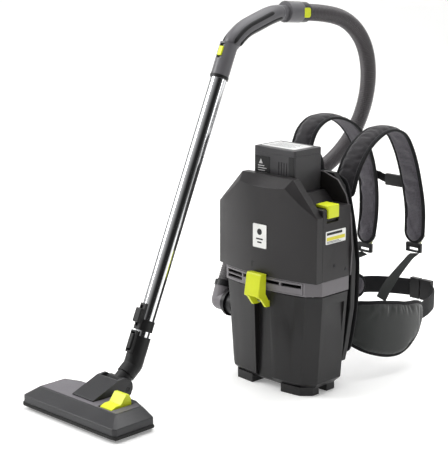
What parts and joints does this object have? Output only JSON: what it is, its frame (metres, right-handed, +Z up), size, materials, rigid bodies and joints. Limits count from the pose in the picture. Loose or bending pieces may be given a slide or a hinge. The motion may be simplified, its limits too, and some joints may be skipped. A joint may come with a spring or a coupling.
{
  "type": "battery backpack vacuum cleaner",
  "caption": "Backpack vacuum cleaner: dust container, latched motor head with battery, padded harness, suction hose, bent grip, telescopic wand and wheeled floor tool.",
  "frame": {"origin": "on the floor, at the centre of the dust container's middle foot pad, under the middle of the machine", "axes": "+Z up; -Y out of the machine's front, where the latch and the exhaust grille are; +Y towards the wearer's back; +X to the side with the battery release"},
  "size_m": [0.465, 1.111, 0.896],
  "materials": {
    "charcoal_shell": "fine spark-eroded grain, satin",
    "container_plastic": "fine grain, satin",
    "black_plastic": "moulded, matte",
    "warm_grey_plastic": "moulded, satin",
    "lime_plastic": "moulded, satin",
    "battery_grey": "moulded, satin",
    "battery_label": "printed film, satin",
    "label_film": "printed film, gloss",
    "steel": "turned, zinc plated",
    "chromed_steel": "polished chrome plate",
    "motor_metal": "cast and turned",
    "copper_cells": "shrink-sleeved cells",
    "filter_media": "pleated fleece",
    "circuit_board": "solder mask",
    "seal_rubber": "foam rubber",
    "harness_fabric": "woven polyester over foam",
    "webbing": "woven polypropylene tape",
    "hose_rubber": "corrugated EVA",
    "grip_grey": "moulded, satin",
    "tool_grey": "moulded, satin",
    "bristle": "nylon bristle"
  },
  "bodies": {
    "container": {"dust_container": "container_plastic", "container_seal": "seal_rubber", "filter_basket": "filter_media", "filter_bag": "filter_media", "inlet_port": "black_plastic", "hose_elbow": "warm_grey_plastic", "hose_cuff_inlet": "black_plastic", "hose": "hose_rubber", "hose_cuff_grip": "black_plastic", "latch_pin": "steel"},
    "latch_lever": {"latch": "lime_plastic"},
    "motor_head": {"vent_ring": "warm_grey_plastic", "vent_grille": "warm_grey_plastic", "front_cover": "charcoal_shell", "side_housing": "charcoal_shell", "rear_shell": "charcoal_shell", "motor_deck": "black_plastic", "suction_motor": "motor_metal", "exhaust_filter": "filter_media", "control_board": "circuit_board", "battery_socket": "black_plastic", "name_plates": "label_film", "housing_screws": "steel", "back_frame": "black_plastic", "back_pad": "harness_fabric", "carry_handle": "webbing", "shoulder_strap_left": "harness_fabric", "shoulder_strap_right": "harness_fabric", "strap_adjusters": "black_plastic", "strap_webbing": "webbing", "sternum_webbing": "webbing", "sternum_buckle": "black_plastic", "hip_pads": "harness_fabric", "hip_webbing": "webbing", "hip_buckle_plug": "black_plastic", "hip_buckle_socket": "black_plastic"},
    "battery": {"battery_case": "battery_grey", "battery_lid": "battery_label", "battery_cells": "copper_cells"},
    "battery_release": {"release_lever": "lime_plastic"},
    "fan": {"impeller": "motor_metal", "motor_shaft": "steel"},
    "hose_release": {"cuff_button": "lime_plastic"},
    "wand": {"handle_pipe": "grip_grey", "handle_grip": "black_plastic", "outer_tube": "chromed_steel", "tube_collar": "black_plastic"},
    "air_regulator": {"air_slider": "lime_plastic"},
    "telescope_release": {"tube_button": "black_plastic"},
    "wand_foot": {"inner_tube": "chromed_steel", "nozzle_socket": "black_plastic"},
    "tool_release": {"socket_clip": "lime_plastic"},
    "elbow": {"nozzle_elbow": "black_plastic"},
    "floor_tool": {"nozzle_base": "black_plastic", "nozzle_cover": "tool_grey", "nozzle_hood": "tool_grey", "pedal_pin": "steel"},
    "pedal": {"brush_pedal": "lime_plastic"},
    "brushes": {"brush_strips": "bristle"},
    "wheels": {"floor_wheels": "black_plastic"}
  },
  "joints": [
    {"name": "head_lift", "type": "slide", "parent": "container", "child": "motor_head", "axis": [0, 0, 1], "range_m": [0, 0.12]},
    {"name": "latch_swing", "type": "hinge", "parent": "container", "child": "latch_lever", "pos_m": [0, -0.066, 0.214], "axis": [1, 0, 0], "range_deg": [0, 75]},
    {"name": "battery_lift", "type": "slide", "parent": "motor_head", "child": "battery", "axis": [0, 0, 1], "range_m": [0, 0.145]},
    {"name": "battery_release_press", "type": "slide", "parent": "motor_head", "child": "battery_release", "axis": [0, 0, -1], "range_m": [0, 0.004], "stiffness_N_per_m": 900},
    {"name": "fan_spin", "type": "hinge", "parent": "motor_head", "child": "fan", "pos_m": [0, 0.012, 0.31], "axis": [0, 0, 1], "continuous": true},
    {"name": "cuff_button_press", "type": "slide", "parent": "container", "child": "hose_release", "axis": [-1, 0, 0], "range_m": [0, 0.002], "stiffness_N_per_m": 700},
    {"name": "handle_swivel", "type": "hinge", "parent": "container", "child": "wand", "pos_m": [-0.14, 0.226, 0.865], "axis": [0, -0.9976, 0.0698], "continuous": true},
    {"name": "air_slide", "type": "slide", "parent": "wand", "child": "air_regulator", "axis": [0, 0.4051, 0.9143], "range_m": [-0.005, 0.007]},
    {"name": "telescope_button_slide", "type": "slide", "parent": "wand", "child": "telescope_release", "axis": [0, -0.4051, -0.9143], "range_m": [0, 0.006], "stiffness_N_per_m": 600},
    {"name": "telescope_slide", "type": "slide", "parent": "wand", "child": "wand_foot", "axis": [0, -0.4051, -0.9143], "range_m": [0, 0.38]},
    {"name": "tool_clip_press", "type": "slide", "parent": "wand_foot", "child": "tool_release", "axis": [0, 0.9143, -0.4051], "range_m": [0, 0.003], "stiffness_N_per_m": 700},
    {"name": "nozzle_swivel", "type": "hinge", "parent": "wand_foot", "child": "elbow", "pos_m": [-0.14, -0.378, 0.076], "axis": [0, 0.7809, 0.6247], "range_deg": [-90, 90]},
    {"name": "nozzle_tilt", "type": "hinge", "parent": "elbow", "child": "floor_tool", "pos_m": [-0.14, -0.403, 0.056], "axis": [1, 0, 0], "range_deg": [-24, 45]},
    {"name": "pedal_rock", "type": "hinge", "parent": "floor_tool", "child": "pedal", "pos_m": [-0.055, -0.482, 0.046], "axis": [1, 0, 0], "range_deg": [0, 8]},
    {"name": "brush_drop", "type": "slide", "parent": "floor_tool", "child": "brushes", "axis": [0, 0, -1], "range_m": [0, 0.003]},
    {"name": "wheel_spin", "type": "hinge", "parent": "floor_tool", "child": "wheels", "pos_m": [-0.14, -0.439, 0.013], "axis": [1, 0, 0], "continuous": true}
  ],
  "couplings": [
    {"joint": "pedal_rock", "follows": "brush_drop", "rad_per_m": 46.5}
  ]
}
